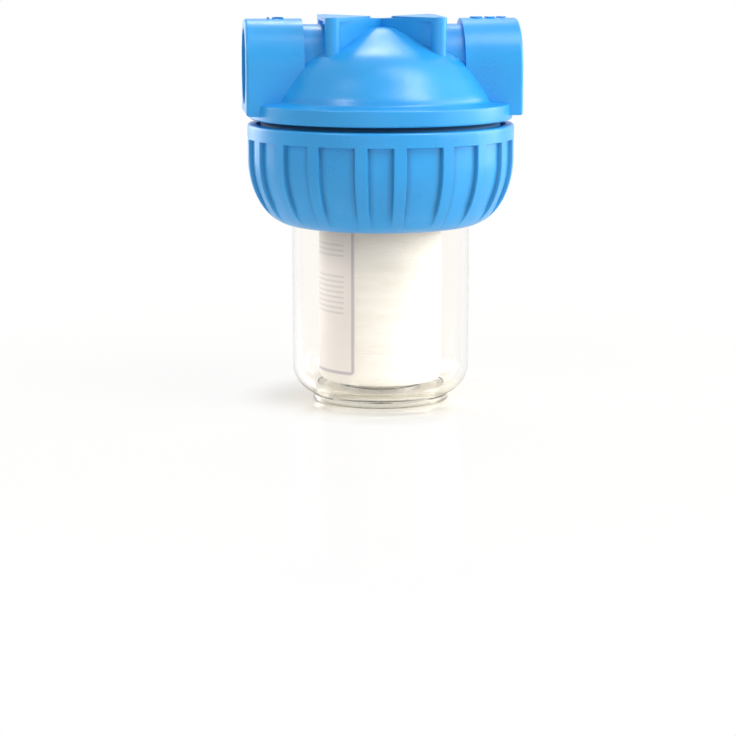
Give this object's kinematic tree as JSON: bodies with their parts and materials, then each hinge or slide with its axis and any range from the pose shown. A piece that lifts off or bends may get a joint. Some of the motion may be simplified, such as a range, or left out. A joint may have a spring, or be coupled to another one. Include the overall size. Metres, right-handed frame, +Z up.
{
  "type": "sediment water filter",
  "caption": "Short water filter with a domed blue head, side ports, a ribbed screw ring and a clear bowl round a white sediment cartridge.",
  "frame": {"origin": "centre of the bowl foot's underside, on the surface that it stands on", "axes": "+Z up the axis of the bowl and the ring nut, X along the ports with the outlet at +X, front towards -Y"},
  "size_m": [0.131, 0.1278, 0.1843],
  "materials": {
    "blue_plastic": "satin moulded polypropylene",
    "clear_plastic": "clear polished plastic",
    "white_media": "melt-blown fibre, matt",
    "label_film": "blank film label",
    "black_rubber": "smooth"
  },
  "bodies": {
    "head": {"head": "blue_plastic"},
    "bowl": {"bowl": "clear_plastic", "bowl_o_ring": "black_rubber", "sediment_cartridge": "white_media", "cartridge_label": "label_film"},
    "nut": {"ring_nut": "blue_plastic"}
  },
  "joints": [
    {"name": "bowl_drop", "type": "slide", "parent": "head", "child": "bowl", "axis": [0, 0, -1], "range_m": [0, 0.0125]},
    {"name": "nut_turn", "type": "hinge", "parent": "bowl", "child": "nut", "pos_m": [0, 0, 0.11], "axis": [0, 0, -1], "range_deg": [0, 900]}
  ],
  "couplings": [
    {"joint": "bowl_drop", "follows": "nut_turn", "m_per_rad": 0.00079577}
  ]
}
